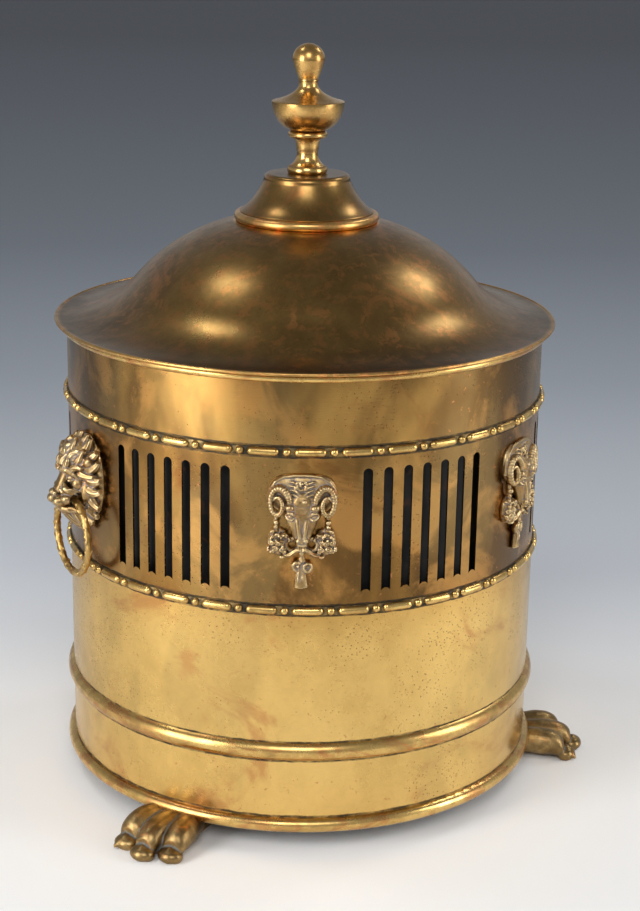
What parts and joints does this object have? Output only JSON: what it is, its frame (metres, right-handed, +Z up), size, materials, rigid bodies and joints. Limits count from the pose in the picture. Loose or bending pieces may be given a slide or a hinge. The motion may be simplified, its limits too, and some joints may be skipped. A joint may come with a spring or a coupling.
{
  "type": "coal scuttle",
  "caption": "Round brass coal scuttle on paw feet, with a lift-off domed lid, a lift-out iron liner, slotted walls, cast ram and lion mounts and drop-ring handles.",
  "frame": {"origin": "on the floor, under the middle of the round body", "axes": "+Z up along the body's axis; -Y towards the front, midway between the two front ram mounts; +X to the right-hand lion mask and ring"},
  "size_m": [0.359, 0.3555, 0.4743],
  "materials": {
    "aged_brass": "aged, mottled brown and copper",
    "bright_brass": "polished",
    "cast_brass": "cast, worn polish",
    "dark_bronze": "cast, dark patina",
    "black_iron": "black, sooty",
    "steel_screw": "dull"
  },
  "bodies": {
    "scuttle": {"body_wall": "aged_brass", "rim_roll": "aged_brass", "base_roll": "bright_brass", "waist_moulding": "bright_brass", "upper_bead_strip": "bright_brass", "lower_bead_strip": "bright_brass", "floor_plate": "black_iron", "paw_foot_left": "dark_bronze", "paw_foot_right": "dark_bronze", "paw_foot_back": "dark_bronze", "foot_screws": "steel_screw", "ram_mount_front_left": "cast_brass", "ram_mount_front_right": "cast_brass", "ram_mount_back_right": "cast_brass", "ram_mount_back_left": "cast_brass", "lion_mask_left": "cast_brass", "lion_mask_right": "cast_brass", "mount_nuts": "aged_brass"},
    "ring_left": {"ring_left": "cast_brass"},
    "ring_right": {"ring_right": "cast_brass"},
    "liner": {"liner_wall": "black_iron", "liner_floor": "black_iron", "liner_rim": "black_iron", "handle_plate_left": "black_iron", "handle_plate_right": "black_iron", "plate_rivets": "black_iron"},
    "liner_handle_left": {"liner_handle_left": "black_iron"},
    "liner_handle_right": {"liner_handle_right": "black_iron"},
    "lid": {"lid_dome": "aged_brass", "lid_collar": "aged_brass", "lid_crown": "aged_brass", "finial": "cast_brass", "finial_washer": "aged_brass", "finial_nut": "aged_brass"}
  },
  "joints": [
    {"name": "ring_left_swing", "type": "hinge", "parent": "scuttle", "child": "ring_left", "pos_m": [-0.1645, 0, 0.20365], "axis": [0, 1, 0], "range_deg": [-5, 100]},
    {"name": "ring_right_swing", "type": "hinge", "parent": "scuttle", "child": "ring_right", "pos_m": [0.1645, 0, 0.20365], "axis": [0, -1, 0], "range_deg": [-5, 100]},
    {"name": "liner_lift", "type": "slide", "parent": "scuttle", "child": "liner", "axis": [0, 0, 1], "range_m": [0, 0.3]},
    {"name": "liner_handle_left_swing", "type": "hinge", "parent": "liner", "child": "liner_handle_left", "pos_m": [-0.13338, 0, 0.2644], "axis": [0, -1, 0], "range_deg": [-5, 185]},
    {"name": "liner_handle_right_swing", "type": "hinge", "parent": "liner", "child": "liner_handle_right", "pos_m": [0.13338, 0, 0.2644], "axis": [0, 1, 0], "range_deg": [-5, 185]},
    {"name": "lid_lift", "type": "slide", "parent": "liner", "child": "lid", "axis": [0, 0, 1], "range_m": [0, 0.25]}
  ]
}
